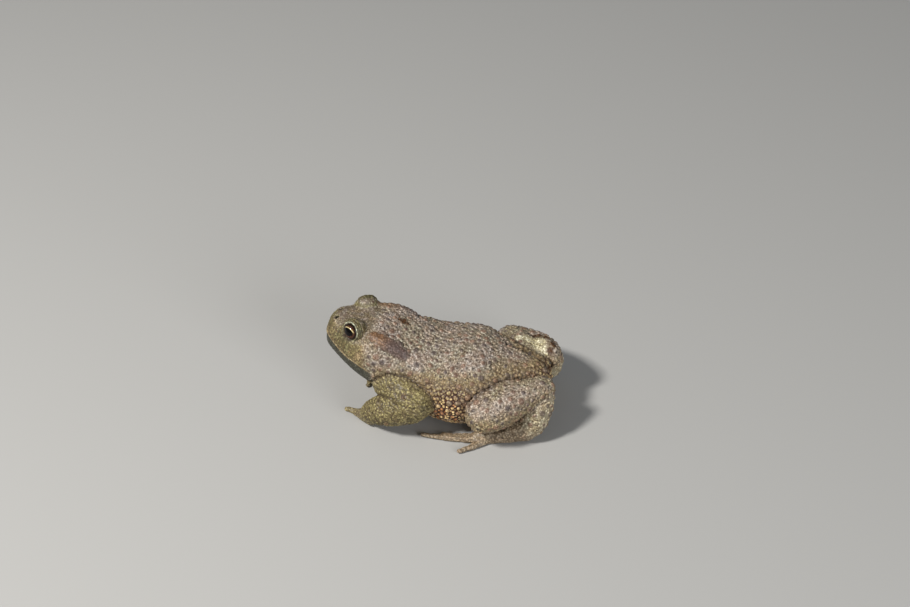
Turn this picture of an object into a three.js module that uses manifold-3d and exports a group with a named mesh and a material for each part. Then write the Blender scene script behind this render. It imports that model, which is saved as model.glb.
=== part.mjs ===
// Common toad (Bufo bufo), life-size and at rest.
// Millimetres, +Z up. The toad faces -Y and its left side is +X.
import * as THREE from 'three';
import { mergeVertices } from 'three/addons/utils/BufferGeometryUtils.js';
import Module from 'manifold-3d';

const wasm = await Module();
wasm.setup();

// ---------------------------------------------------------------- driving sizes

const GAP = 0.3;               // parting gap between neighbouring pieces
const REACH = 200;             // side of the blocks that trim or part a solid

// Trunk and head: one row per station from the rump to the snout.
// y, widest height, half-width, rise to the back, drop to the belly, squareness
const BODY_ROWS = [
  [28.5, 15.2, 9.2, 7.4, 7.6, 2.0],
  [23.0, 14.4, 12.4, 9.6, 10.6, 2.1],
  [17.0, 13.8, 15.8, 11.6, 12.4, 2.1],
  [11.0, 13.4, 19.0, 14.9, 13.2, 2.05],
  [4.0, 13.4, 20.4, 14.4, 13.6, 2.05],
  [-4.0, 14.4, 19.2, 13.2, 13.4, 2.1],
  [-12.0, 16.8, 17.0, 13.4, 13.2, 2.15],
  [-18.0, 18.9, 15.2, 13.3, 12.2, 2.2],
  [-23.0, 20.9, 14.0, 12.9, 10.3, 2.35],
  [-27.0, 21.9, 13.2, 12.2, 9.2, 2.4],
  [-31.0, 23.1, 12.0, 10.7, 8.0, 2.45],
  [-35.0, 24.5, 10.1, 9.1, 6.8, 2.5],
  [-39.2, 25.8, 7.4, 7.6, 5.6, 2.6],
];
const BODY_CAPS = [6.5, 3.6];

// The neck bends to the right between two stations, about the head's origin.
const NECK_BEND = [-16.0, -28.0];
const HEAD_ORIGIN = [0, -22.0, 0];
const HEAD_YAW = THREE.MathUtils.degToRad(-7.5);

// Mouth: the slit falls backwards from the lip, in the head's frame.
const LIP_HEIGHT = 26.8;
const LIP_FORWARD = 20.4;
const LIP_FALL = THREE.MathUtils.degToRad(17);

// Eyes, in the head's frame.
const EYE_RADIUS = 3.4;
const EYE_FORWARD = 8.9;
const EYE_SIDE = 7.3;
const EYE_HEIGHT = 32.8;
const LID_SIZE = [4.2, 4.2, 4.1];       // half-sizes across, along and up
const LID_AHEAD = 0.3;                  // the lids sit a little ahead of the ball
const GAZE_FORWARD = 0.48;
const GAZE_UP = 0.27;
const GAZE_SIDE = 0.9;
const APERTURE = [2.88, 2.48];          // half-length and half-height of the lid opening
const APERTURE_TILT = THREE.MathUtils.degToRad(-5);

// Parotoid glands: bean-shaped, spreading backwards.
const PAROTOID_FRONT = [7.9, -25.6, 31.5];
const PAROTOID_REAR = [9.9, -15.4, 28.0];
const PAROTOID_RADII = [2.3, 3.1, 3.2, 2.5];

// Left arm. Every limb row is x, y, z, radius.
const UPPER_ARM_LEFT = [
  [8.5, -19.6, 16.0, 6.8],
  [14.5, -15.2, 15.8, 6.8],
  [19.4, -9.0, 14.2, 6.2],
];
const FOREARM_LEFT = [
  [19.6, -9.4, 13.6, 6.2],
  [19.0, -14.6, 11.2, 6.1],
  [17.6, -20.4, 8.4, 5.5],
  [15.2, -25.2, 5.0, 3.8],
];
const HAND_LEFT = [
  [16.0, -24.6, 3.4, 3.0],
  [13.6, -27.6, 2.0, 2.5],
  [12.2, -29.4, 1.4, 2.0],
];
const FINGERS_LEFT = [
  [[12.4, -26.8], [9.4, -26.2], [6.8, -25.0]],
  [[12.0, -28.0], [9.4, -28.6], [7.4, -28.2]],
  [[12.0, -29.0], [10.6, -32.0], [9.8, -34.8]],
  [[13.4, -27.8], [12.6, -29.8], [11.8, -31.4]],
];

const UPPER_ARM_RIGHT = [
  [-8.5, -17.5, 16.0, 6.6],
  [-14.5, -14.5, 15.4, 6.6],
  [-19.6, -11.0, 13.6, 5.8],
];
const FOREARM_RIGHT = [
  [-19.6, -11.0, 13.4, 5.9],
  [-19.8, -16.0, 10.4, 6.1],
  [-18.4, -21.6, 6.8, 4.9],
  [-16.2, -26.4, 3.8, 3.1],
];
const HAND_RIGHT = [
  [-16.4, -26.2, 3.4, 3.0],
  [-13.6, -28.2, 2.0, 2.5],
  [-11.6, -29.0, 1.4, 2.0],
];
const FINGERS_RIGHT = [
  [[-12.8, -27.2], [-10.2, -25.4], [-8.4, -23.6]],
  [[-11.8, -28.2], [-8.8, -27.4], [-6.6, -26.4]],
  [[-11.2, -29.0], [-7.4, -29.6], [-4.0, -29.6]],
  [[-12.4, -29.6], [-10.8, -31.4], [-9.8, -32.8]],
];

// Left leg.
const THIGH_LEFT = [
  [6.6, 25.0, 14.4, 6.0],
  [12.0, 19.6, 14.6, 6.6],
  [18.8, 14.2, 14.0, 5.9],
];
const SHANK_LEFT = [
  [20.8, 14.5, 12.8, 6.2],
  [18.0, 19.8, 14.2, 6.6],
  [13.4, 26.8, 16.4, 5.1],
  [8.8, 32.8, 17.0, 4.5],
];
const TARSUS_LEFT = [
  [9.4, 33.0, 16.0, 4.5],
  [12.6, 31.8, 10.6, 4.8],
  [15.2, 29.6, 5.4, 4.6],
];
const FOOT_LEFT = [
  [15.2, 29.0, 4.6, 4.6],
  [16.4, 23.4, 3.4, 4.0],
  [17.8, 17.0, 2.2, 3.3],
  [19.0, 12.4, 1.4, 2.7],
];
const TOES_LEFT = [
  [[17.2, 17.0], [16.4, 14.0], [15.8, 11.4]],
  [[18.0, 14.6], [17.6, 10.8], [17.8, 7.4]],
  [[18.8, 12.6], [18.8, 6.4], [18.6, 0.2]],
  [[19.8, 12.2], [20.2, 3.4], [19.7, -6.6]],
  [[20.2, 14.8], [23.6, 11.0], [26.4, 7.0]],
];

const THIGH_RIGHT = [
  [-6.8, 25.6, 15.6, 6.2],
  [-13.6, 22.2, 15.0, 6.6],
  [-21.0, 18.8, 12.8, 5.8],
];
const SHANK_RIGHT = [
  [-22.4, 19.8, 11.2, 5.9],
  [-20.0, 25.0, 11.6, 6.2],
  [-15.4, 29.6, 14.8, 5.2],
  [-9.8, 33.0, 17.5, 4.4],
];
const TARSUS_RIGHT = [
  [-10.2, 33.2, 16.6, 4.3],
  [-14.0, 32.8, 10.6, 4.7],
  [-17.2, 31.0, 5.4, 4.6],
];
const FOOT_RIGHT = [
  [-17.4, 30.6, 4.6, 4.6],
  [-19.8, 25.4, 3.4, 4.0],
  [-22.0, 19.4, 2.2, 3.3],
  [-23.2, 15.2, 1.4, 2.7],
];
const TOES_RIGHT = [
  [[-20.6, 19.6], [-19.6, 16.4], [-18.6, 13.6]],
  [[-21.6, 17.6], [-20.8, 13.4], [-20.4, 9.6]],
  [[-22.6, 15.8], [-22.2, 9.8], [-21.6, 3.4]],
  [[-23.6, 15.6], [-24.4, 6.8], [-24.6, -3.0]],
  [[-24.0, 18.4], [-27.0, 14.8], [-29.8, 11.4]],
];

const DIGIT_HEIGHT = 0.9;               // height of a digit's axis above the floor
const FINGER_RADII = [1.6, 1.2, 0.95];
const TOE_RADII = [1.6, 1.2, 0.9];

// Faces around each kind of piece.
const BODY_FACETS = [24, 26];
const LIMB_FACETS = [11, 5];
const PALM_FACETS = [8, 3];
const DIGIT_FACETS = [6, 2];
const BALL_FACETS = [12, 8];
const LID_FACETS = 16;
const CAP_ROWS = 2;                     // rows of faces that close each end of a tube
const WELD = 1e-4;                      // distance at which corners are one
const TANGENT_STEP = 0.02;              // share of a limb over which its direction is taken
const ROUND = 2;                        // squareness of a round section

const COLOURS = {
  back: { color: 0x8f8068, roughness: 0.62, metalness: 0 },
  face: { color: 0x9a8a5e, roughness: 0.6, metalness: 0 },
  throat: { color: 0x6e7052, roughness: 0.62, metalness: 0 },
  arm: { color: 0x84793f, roughness: 0.62, metalness: 0 },
  leg: { color: 0x8c7d5f, roughness: 0.62, metalness: 0 },
  digit: { color: 0xa08a55, roughness: 0.6, metalness: 0 },
  eye: { color: 0x7a3a16, roughness: 0.08, metalness: 0 },
};

// ---------------------------------------------------------------- shape helpers

/** Smoothly interpolated row of a table at t, counted from 0 to 1 over its rows. */
function sampleRows(rows, t) {
  const last = rows.length - 1;
  const place = THREE.MathUtils.clamp(t, 0, 1) * last;
  const index = Math.min(Math.floor(place), last - 1);
  const f = place - index;
  const before = rows[Math.max(index - 1, 0)];
  const after = rows[Math.min(index + 2, last)];
  return rows[index].map((a, k) => {
    const b = rows[index + 1][k];
    const slopeA = (b - before[k]) / 2;
    const slopeB = (after[k] - a) / 2;
    const cubic = 2 * a - 2 * b + slopeA + slopeB;
    const square = 3 * b - 3 * a - 2 * slopeA - slopeB;
    return ((cubic * f + square) * f + slopeA) * f + a;
  });
}

/** Closed tube over stations: a lat-long ball whose rings are laid on the sections. */
function loft(sectionAt, caps, [around, along]) {
  const rows = along + 2 * CAP_ROWS;
  const ball = new THREE.SphereGeometry(1, around, rows);
  const position = ball.getAttribute('position');
  const point = new THREE.Vector3();
  for (let row = 0; row <= rows; row += 1) {
    const t = THREE.MathUtils.clamp((row - CAP_ROWS) / along, 0, 1);
    const capStart = Math.max(CAP_ROWS - row, 0) / CAP_ROWS;
    const capEnd = Math.max(row - CAP_ROWS - along, 0) / CAP_ROWS;
    const turn = (1 - Math.max(capStart, capEnd)) * Math.PI / 2;
    const slide = caps[1] * Math.sin(capEnd * Math.PI / 2)
      - caps[0] * Math.sin(capStart * Math.PI / 2);
    const section = sectionAt(t);
    for (let column = 0; column <= around; column += 1) {
      const angle = (column % around) / around * 2 * Math.PI;
      const power = ROUND / section.square;
      const cos = Math.cos(angle);
      const sin = Math.sin(angle);
      const across = section.half * Math.sign(cos) * Math.abs(cos) ** power;
      const height = sin > 0 ? section.rise : section.drop;
      const up = height * Math.sign(sin) * Math.abs(sin) ** power;
      point.copy(section.centre)
        .addScaledVector(section.ahead, slide)
        .addScaledVector(section.side, across * Math.sin(turn))
        .addScaledVector(section.up, up * Math.sin(turn));
      position.setXYZ(row * (around + 1) + column, point.x, point.y, point.z);
    }
  }
  return ball;
}

/** Trunk and head in one: upright sections along Y, turned at the neck. */
function bodyLoft() {
  const side = new THREE.Vector3(-1, 0, 0);
  const up = new THREE.Vector3(0, 0, 1);
  const ahead = new THREE.Vector3(0, -1, 0);
  const sectionAt = (t) => {
    const [y, height, half, rise, drop, square] = sampleRows(BODY_ROWS, t);
    return { centre: new THREE.Vector3(0, y, height), side, up, ahead, half, rise, drop, square };
  };
  const geometry = loft(sectionAt, BODY_CAPS, BODY_FACETS);
  const position = geometry.getAttribute('position');
  const [bendStart, bendEnd] = NECK_BEND;
  const origin = new THREE.Vector3(...HEAD_ORIGIN);
  const point = new THREE.Vector3();
  for (let k = 0; k < position.count; k += 1) {
    point.fromBufferAttribute(position, k);
    const share = THREE.MathUtils.smoothstep(-point.y, -bendStart, -bendEnd);
    point.sub(origin).applyAxisAngle(up, HEAD_YAW * share).add(origin);
    position.setXYZ(k, point.x, point.y, point.z);
  }
  return geometry;
}

/** Round limb through x, y, z, radius rows. */
function limb(rows, facets, grow = 0) {
  const sectionAt = (t) => {
    const [x, y, z, radius] = sampleRows(rows, t);
    const low = sampleRows(rows, t - TANGENT_STEP);
    const high = sampleRows(rows, t + TANGENT_STEP);
    const ahead = new THREE.Vector3(high[0] - low[0], high[1] - low[1], high[2] - low[2]);
    ahead.normalize();
    const side = new THREE.Vector3().crossVectors(ahead, new THREE.Vector3(0, 0, 1)).normalize();
    const up = new THREE.Vector3().crossVectors(side, ahead);
    const half = radius + grow;
    const centre = new THREE.Vector3(x, y, z);
    return { centre, side, up, ahead, half, rise: half, drop: half, square: ROUND };
  };
  const caps = [rows[0][3] + grow, rows[rows.length - 1][3] + grow];
  return loft(sectionAt, caps, facets);
}

/** Ellipsoid of the given half-sizes. */
function ellipsoid(centre, [a, b, c], facets) {
  return new THREE.SphereGeometry(1, ...facets)
    .rotateX(Math.PI / 2)
    .scale(a, b, c)
    .translate(...centre);
}

/** Block whose one face passes through a point, filling the side the normal points to. */
function halfSpace(point, normal, setBack = 0) {
  const direction = new THREE.Vector3(...normal).normalize();
  const turn = new THREE.Quaternion().setFromUnitVectors(new THREE.Vector3(0, 0, 1), direction);
  return new THREE.BoxGeometry(REACH, REACH, REACH)
    .translate(0, 0, REACH / 2 + setBack)
    .applyQuaternion(turn)
    .translate(...point);
}

/** Moves a shape from the head's frame (u forward along -Y) to the toad's. */
function placeHead(geometry) {
  return geometry.rotateZ(HEAD_YAW).translate(...HEAD_ORIGIN);
}

/** Point of the head's frame in the toad's frame; side is +1 left and -1 right. */
function headPoint(across, forward, height) {
  return new THREE.Vector3(across, -forward, height)
    .applyAxisAngle(new THREE.Vector3(0, 0, 1), HEAD_YAW)
    .add(new THREE.Vector3(...HEAD_ORIGIN));
}

// ---------------------------------------------------------------- solids

function solid(geometry) {
  const bare = geometry.clone();
  bare.deleteAttribute('normal');
  bare.deleteAttribute('uv');
  const merged = mergeVertices(bare, WELD);
  return new wasm.Manifold(new wasm.Mesh({
    numProp: 3,
    vertProperties: new Float32Array(merged.getAttribute('position').array),
    triVerts: new Uint32Array(merged.getIndex().array),
  }));
}

/** The largest closed body of a solid, without chips left by the cuts. */
function mainBody(shape) {
  const bodies = shape.decompose();
  bodies.sort((a, b) => b.volume() - a.volume());
  return bodies[0];
}

function join(...geometries) {
  return geometries.map(solid).reduce((whole, piece) => whole.add(piece));
}

const floor = solid(halfSpace([0, 0, 0], [0, 0, -1]));

// ---------------------------------------------------------------- limbs

function digit(path, radii, grow) {
  const rows = path.map(([x, y], k) => [x, y, DIGIT_HEIGHT, radii[k]]);
  return limb(rows, DIGIT_FACETS, grow);
}

function paw(rows, digits, radii, grow) {
  return join(limb(rows, PALM_FACETS, grow), ...digits.map((path) => digit(path, radii, grow)));
}

/** Plane that parts two limb segments where one turns into the other. */
function mitre(first, second) {
  const end = new THREE.Vector3(...first.at(-1));
  const start = new THREE.Vector3(...second[0]);
  const incoming = end.clone().sub(new THREE.Vector3(...first.at(-2))).normalize();
  const outgoing = new THREE.Vector3(...second[1]).sub(start).normalize();
  const middle = end.add(start).multiplyScalar(0.5);
  return { point: middle.toArray(), normal: incoming.add(outgoing).toArray() };
}

/** Parts a joined pair by the mitre plane, leaving the gap. */
function part(pair, plane) {
  const [x, y, z] = plane.normal;
  const far = solid(halfSpace(plane.point, [x, y, z], -GAP / 2));
  const near = solid(halfSpace(plane.point, [-x, -y, -z], -GAP / 2));
  return [mainBody(pair.subtract(far)), mainBody(pair.subtract(near))];
}

function buildArm(upperRows, foreRows, handRows, fingers) {
  const whole = (grow) => join(limb(upperRows, LIMB_FACETS, grow), limb(foreRows, LIMB_FACETS, grow));
  const hand = (grow) => paw(handRows, fingers, FINGER_RADII, grow);
  const [upper, fore] = part(whole(0), mitre(upperRows, foreRows));
  const claimed = whole(GAP).add(hand(GAP));
  const solids = {
    upper_arm: upper.subtract(hand(GAP)),
    forearm: fore.subtract(hand(GAP)),
    hand: hand(0),
  };
  return { claimed, solids };
}

function buildLeg(thighRows, shankRows, tarsusRows, footRows, toes) {
  const whole = (grow) => join(limb(thighRows, LIMB_FACETS, grow), limb(shankRows, LIMB_FACETS, grow));
  const tarsus = (grow) => solid(limb(tarsusRows, LIMB_FACETS, grow));
  const foot = (grow) => paw(footRows, toes, TOE_RADII, grow);
  const [thigh, shank] = part(whole(0), mitre(thighRows, shankRows));
  const claimed = whole(GAP).add(tarsus(GAP)).add(foot(GAP));
  const solids = {
    thigh: thigh.subtract(foot(GAP)),
    shank: shank.subtract(foot(GAP)),
    tarsus: tarsus(0).subtract(whole(GAP)).subtract(foot(GAP)),
    foot: foot(0),
  };
  return { claimed, solids };
}

// ---------------------------------------------------------------- head and trunk

function lidOpening(side) {
  const gaze = new THREE.Vector3(side * GAZE_SIDE, -GAZE_FORWARD, GAZE_UP).normalize();
  const along = new THREE.Vector3(0, -1, 0).projectOnPlane(gaze).normalize();
  along.applyAxisAngle(gaze, -side * APERTURE_TILT);
  const across = new THREE.Vector3().crossVectors(gaze, along);
  const frame = new THREE.Matrix4().makeBasis(along, gaze, across.negate());
  return new THREE.CylinderGeometry(1, 1, 2 * EYE_RADIUS, LID_FACETS)
    .scale(APERTURE[0], 1, APERTURE[1])
    .translate(0, EYE_RADIUS, 0)
    .applyMatrix4(frame)
    .translate(side * EYE_SIDE, -EYE_FORWARD, EYE_HEIGHT);
}

function parotoid(side) {
  const rows = PAROTOID_RADII.map((radius, k) => {
    const t = k / (PAROTOID_RADII.length - 1);
    const at = PAROTOID_FRONT.map((a, axis) => THREE.MathUtils.lerp(a, PAROTOID_REAR[axis], t));
    return [side * at[0], at[1], at[2], radius];
  });
  return limb(rows, PALM_FACETS);
}

const eyeCentre = (side) => [side * EYE_SIDE, -EYE_FORWARD, EYE_HEIGHT];
const eyeball = (side, radius) => {
  const ball = new THREE.SphereGeometry(radius, ...BALL_FACETS);
  return placeHead(ball.translate(...eyeCentre(side)));
};
const lid = (side) => {
  const [x, y, z] = eyeCentre(side);
  return placeHead(ellipsoid([x, y - LID_AHEAD, z], LID_SIZE, BALL_FACETS));
};

const leftArm = buildArm(UPPER_ARM_LEFT, FOREARM_LEFT, HAND_LEFT, FINGERS_LEFT);
const rightArm = buildArm(UPPER_ARM_RIGHT, FOREARM_RIGHT, HAND_RIGHT, FINGERS_RIGHT);
const leftLeg = buildLeg(THIGH_LEFT, SHANK_LEFT, TARSUS_LEFT, FOOT_LEFT, TOES_LEFT);
const rightLeg = buildLeg(THIGH_RIGHT, SHANK_RIGHT, TARSUS_RIGHT, FOOT_RIGHT, TOES_RIGHT);

let body = join(bodyLoft(), parotoid(1), parotoid(-1), lid(1), lid(-1));
for (const side of [1, -1]) {
  body = body.subtract(solid(eyeball(side, EYE_RADIUS + GAP)));
  body = body.subtract(solid(placeHead(lidOpening(side))));
}
for (const { claimed } of [leftArm, rightArm, leftLeg, rightLeg]) {
  body = body.subtract(claimed);
}

const neck = headPoint(0, 0, 0);
const neckNormal = headPoint(0, 1, 0).sub(neck).toArray();
const [torso, skull] = part(body, { point: neck.toArray(), normal: neckNormal });

const lip = headPoint(0, LIP_FORWARD, LIP_HEIGHT);
const lipDown = neck.clone().sub(headPoint(0, -Math.sin(LIP_FALL), Math.cos(LIP_FALL)));
const [cranium, jaw] = part(skull, { point: lip.toArray(), normal: lipDown.toArray() });

const solids = {
  head: [cranium, 'face'],
  lower_jaw: [jaw, 'throat'],
  trunk: [torso, 'back'],
  eye_left: [solid(eyeball(1, EYE_RADIUS)), 'eye'],
  eye_right: [solid(eyeball(-1, EYE_RADIUS)), 'eye'],
};
const limbColours = { hand: 'digit', foot: 'digit', upper_arm: 'arm', forearm: 'arm' };
const limbs = { left: [leftArm, leftLeg], right: [rightArm, rightLeg] };
for (const [side, pair] of Object.entries(limbs)) {
  for (const { solids: pieces } of pair) {
    for (const [name, piece] of Object.entries(pieces)) {
      solids[`${name}_${side}`] = [piece, limbColours[name] ?? 'leg'];
    }
  }
}

// ---------------------------------------------------------------- scene graph

function geometryOf(shape) {
  const mesh = shape.getMesh();
  const geometry = new THREE.BufferGeometry();
  geometry.setAttribute('position', new THREE.BufferAttribute(mesh.vertProperties, 3));
  geometry.setIndex(new THREE.BufferAttribute(mesh.triVerts, 1));
  geometry.computeVertexNormals();
  return geometry;
}

const toad = new THREE.Group();
for (const [name, [shape, colour]] of Object.entries(solids)) {
  const resting = mainBody(shape.subtract(floor));
  const mesh = new THREE.Mesh(geometryOf(resting), new THREE.MeshStandardMaterial(COLOURS[colour]));
  mesh.name = name;
  toad.add(mesh);
}

// The origin is the middle of the footprint of the whole toad.
const bounds = new THREE.Box3().setFromObject(toad);
const middle = bounds.getCenter(new THREE.Vector3());
toad.position.set(-middle.x, -middle.y, -bounds.min.z);

export default toad;
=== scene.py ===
"""Common toad, life-size and at rest: one skin, two eyes and a plain stage around the solids."""

import math
from types import SimpleNamespace

import bmesh
import bpy
import numpy as np
from bpy.props import FloatProperty, FloatVectorProperty, IntProperty, PointerProperty
from mathutils import Matrix, Vector, noise
from mathutils.bvhtree import BVHTree
from mathutils.kdtree import KDTree


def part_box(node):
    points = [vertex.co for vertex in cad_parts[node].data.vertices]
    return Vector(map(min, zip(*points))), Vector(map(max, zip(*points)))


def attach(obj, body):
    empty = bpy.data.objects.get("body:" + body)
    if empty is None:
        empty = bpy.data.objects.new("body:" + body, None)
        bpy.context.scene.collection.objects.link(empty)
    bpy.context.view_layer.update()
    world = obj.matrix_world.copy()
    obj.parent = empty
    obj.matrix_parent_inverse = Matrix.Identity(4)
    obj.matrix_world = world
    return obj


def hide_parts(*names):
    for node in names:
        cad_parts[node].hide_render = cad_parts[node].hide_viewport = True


bl_info = {
    "name": "Common Toad",
    "version": (1, 0, 0),
    "blender": (4, 5, 0),
    "location": "View3D > Sidebar > Toad",
    "description": "Skin, eyes and stage of a sitting common toad",
    "category": "Add Mesh",
}

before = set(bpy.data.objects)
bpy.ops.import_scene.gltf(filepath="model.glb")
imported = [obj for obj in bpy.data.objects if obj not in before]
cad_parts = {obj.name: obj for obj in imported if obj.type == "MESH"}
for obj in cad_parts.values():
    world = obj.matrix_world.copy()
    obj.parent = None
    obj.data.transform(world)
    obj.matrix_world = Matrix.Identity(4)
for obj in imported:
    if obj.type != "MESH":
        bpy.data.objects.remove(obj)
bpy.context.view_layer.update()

# ------------------------------------------------------------------ places
# Shapes are worked out in millimetres, in the frame of the solids: the toad
# faces -Y, its left is +X and the floor is at 0.

MM = 0.001
UP = Vector((0, 0, 1))
SIDES = {"left": 1, "right": -1}


def box_mm(node):
    low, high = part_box(node)
    return Vector(low) / MM, Vector(high) / MM


def centre_mm(node):
    low, high = box_mm(node)
    return (low + high) / 2


EYE = {side: centre_mm(f"eye_{side}") for side in SIDES}
EYE_RADIUS = (box_mm("eye_left")[1].z - box_mm("eye_left")[0].z) / 2
BROW = (EYE["left"] + EYE["right"]) / 2
HEAD_LEFT = (EYE["left"] - EYE["right"]).normalized()
HEAD_AHEAD = HEAD_LEFT.cross(UP)
HEAD_AXES = np.array([HEAD_LEFT, HEAD_AHEAD, UP])
FLESH = [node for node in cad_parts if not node.startswith("eye_")]

# Where each eye looks, and the lids' opening on the eyeball.
GAZE = Vector((0.888, 0.386, 0.252)).normalized()     # outward, ahead, up
APERTURE = (3.05, 3.40)                               # half-length and half-height
APERTURE_TILT = math.radians(-12)
PUPIL_TILT = math.radians(24)                         # its front end is the higher one

# Places on the head: left, ahead and up of the point between the eyes.
NOSTRIL = (2.45, 8.0, 0.4)
EAR = (10.95, -7.7, -2.9)
LIP_FRONT = (11.5, -4.9)                              # ahead, up
LIP_FALL = math.tan(math.radians(22))
MOUTH_CORNER = -7.4                                   # ahead

# Places on the body: left, back and up of the floor under the middle of the trunk.
MIDDLE = Vector((BROW.x + 1.16, BROW.y + 30.82, 0))
GLAND = (                 # the line along the left gland
    (8.8, -24.6, 33.3), (10.0, -21.6, 32.7), (11.1, -18.7, 31.6), (11.7, -16.2, 30.1),
    (11.7, -14.3, 28.6))
GLAND_RADII = (1.2, 1.75, 1.4)                        # at its front, middle and back
GLAND_TINT = {"left": 1.0, "right": 0.6}              # how plainly its colour shows
NECK_FOLD = ((13.6, -24.6, 21.8), (14.0, -20.0, 24.4), (13.4, -17.6, 26.0))
# The groin fold is sunk into the skin and darkened with painted shade.
GROIN_FOLD = (            # where the trunk lies on the right thigh
    (-4.8, 19.0, 24.2), (-4.4, 22.0, 23.5), (-3.9, 24.1, 23.0), (-3.1, 26.4, 22.6),
    (-2.1, 29.0, 21.9), (-1.4, 31.5, 20.8), (-0.2, 33.4, 19.6))
GROIN_WIDTH = {"left": 2.8, "right": 1.7}             # how far the olive reaches from the legs
CREASE_WIDTH = 0.45                                   # of a fold, on each side of it
# The crease at the trunk, and the painted shade in it, reach this far onto the leg.
LEG_CREASE_WIDTH = {"left": 0.45, "right": 1.3}       # at the trunk, on the leg's side
LARGE_WARTS = (           # left, back, up, radius, tone: 0 reddish to 1 purple grey
    (7.5, -4.4, 26.6, 1.25, 1.0),
    (10.3, -9.3, 26.9, 1.0, 0.5),
    (9.1, -7.4, 27.0, 0.85, 0.4),
    (11.0, -11.2, 27.1, 1.0, 0.3),
    (-4.3, -0.5, 27.1, 1.0, 0.1),
    (6.6, 1.8, 26.9, 1.0, 0.0),
    (7.9, 5.7, 26.8, 1.15, 0.3),
    (2.2, 8.9, 28.1, 1.05, 0.9),
    (0.8, 18.0, 25.0, 0.95, 0.8),
    (9.2, 12.6, 25.9, 1.1, 0.3),
    (10.6, 10.6, 25.6, 0.9, 0.5),
    (16.3, 0.2, 21.9, 0.9, 0.0),
    (18.5, 2.4, 19.3, 1.0, 0.0),
    (14.9, -9.2, 23.5, 0.9, 0.2),
    (21.2, 20.1, 19.7, 1.1, 0.3),
    (18.3, 16.4, 20.0, 0.9, 0.6),
    (12.2, 19.2, 20.9, 1.0, 0.8),
    (17.1, 24.1, 20.8, 1.15, 0.5),
    (13.7, 25.2, 21.3, 1.0, 0.7),
    (23.2, 19.5, 18.1, 0.85, 0.6),
    (16.0, 30.5, 14.0, 1.2, 0.6),
    (17.3, 28.6, 10.5, 1.0, 0.2),
    (24.7, 13.6, 16.6, 0.8, 0.0),
    (10.9, -13.0, 27.5, 1.0, 0.6),
)
BROWN_PATCHES = (         # left, back, up, radius: on the nape, the right leg, the flank and the rump
    (-2.5, -17.4, 31.8, 1.1),
    (-2.4, -16.4, 31.5, 1.5),
    (-1.9, -15.1, 31.1, 1.3),
    (-16.8, 27.4, 19.2, 1.1),
    (-16.0, 29.3, 19.8, 1.3),
    (-15.0, 31.6, 20.2, 1.5),
    (-12.4, 33.6, 21.0, 1.6),
    (-9.6, 34.3, 21.4, 1.6),
    (-7.6, 33.9, 21.0, 1.3),
    (22.3, -12.3, 18.9, 1.2),
    (-1.3, 34.1, 17.4, 1.6),
)
# Pale patches, partly their own colour and partly painted light.
PALE_PATCHES = (          # on the inner side of the right leg
    (-12.3, 22.6, 21.5, 1.7),
    (-12.6, 25.2, 21.2, 2.2),
    (-12.2, 27.6, 20.6, 2.8),
    (-10.8, 29.6, 20.4, 3.0),
    (-8.4, 30.4, 20.4, 2.7),
    (-7.0, 31.4, 19.8, 1.9),
)


def on_head(left, ahead, up):
    """Point of the head's frame in the toad's frame."""
    return BROW + HEAD_LEFT * left + HEAD_AHEAD * ahead + UP * up


def on_body(left, back, up):
    """Point measured from the middle of the trunk in the toad's frame."""
    return MIDDLE + Vector((left, back, up))


def eye_axes(side):
    """Rows: along the opening towards the snout, up across it, and outward."""
    sign = SIDES[side]
    gaze = HEAD_LEFT * (sign * GAZE.x) + HEAD_AHEAD * GAZE.y + UP * GAZE.z
    along = (HEAD_AHEAD - gaze * HEAD_AHEAD.dot(gaze)).normalized()
    along.rotate(Matrix.Rotation(-sign * APERTURE_TILT, 3, gaze))
    across = along.cross(gaze) * sign
    return np.array([along, across, gaze])


def smoothstep(low, high, value):
    t = np.clip((value - low) / (high - low), 0, 1)
    return t * t * (3 - 2 * t)


def bell(value, width):
    return np.exp(-(value / width) ** 2)


# ------------------------------------------------------------------ settings

class ToadSkinSettings(bpy.types.PropertyGroup):
    voxel: FloatProperty(
        name="Mesh size", description="Edge length of the skin's faces while it is shaped",
        default=0.0003, min=0.0002, unit="LENGTH", subtype="DISTANCE")
    triangles: IntProperty(
        name="Triangles", description="Most triangles of the finished skin", default=196000)
    overlap: FloatProperty(
        name="Overlap", description="How far each solid grows to close the cuts between the pieces",
        default=0.00022, unit="LENGTH", subtype="DISTANCE")
    wart_size: FloatProperty(
        name="Wart size", description="Radius of the common warts on the back",
        default=0.0008, unit="LENGTH", subtype="DISTANCE")
    relief: FloatProperty(
        name="Relief", description="Height of a wart for each part of its radius", default=0.57)
    seed: IntProperty(name="Seed", description="Starts the scatter of the warts", default=11)
    back: FloatVectorProperty(
        name="Back", description="Ground colour between the warts of the back",
        subtype="COLOR", size=3, default=(0.49, 0.455, 0.425))
    flank: FloatVectorProperty(
        name="Flank", description="Ground colour of the lower flank",
        subtype="COLOR", size=3, default=(0.075, 0.024, 0.006))
    olive: FloatVectorProperty(
        name="Arm", description="Olive ground colour of the arms",
        subtype="COLOR", size=3, default=(0.31, 0.275, 0.145))
    # Painted shade: the dark grey-green laid on the lower jaw.
    throat: FloatVectorProperty(
        name="Throat", description="Grey-green of the lower jaw",
        subtype="COLOR", size=3, default=(0.105, 0.108, 0.085))


class ToadEyeSettings(bpy.types.PropertyGroup):
    bulge: FloatProperty(
        name="Bulge", description="How far the clear front of the eye stands out of the ball",
        default=0.0003, unit="LENGTH", subtype="DISTANCE")
    copper: FloatVectorProperty(
        name="Iris", description="Copper of the iris",
        subtype="COLOR", size=3, default=(0.075, 0.020, 0.009))
    gold: FloatVectorProperty(
        name="Gold", description="Gold flecks over the copper",
        subtype="COLOR", size=3, default=(0.66, 0.54, 0.27))


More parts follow.
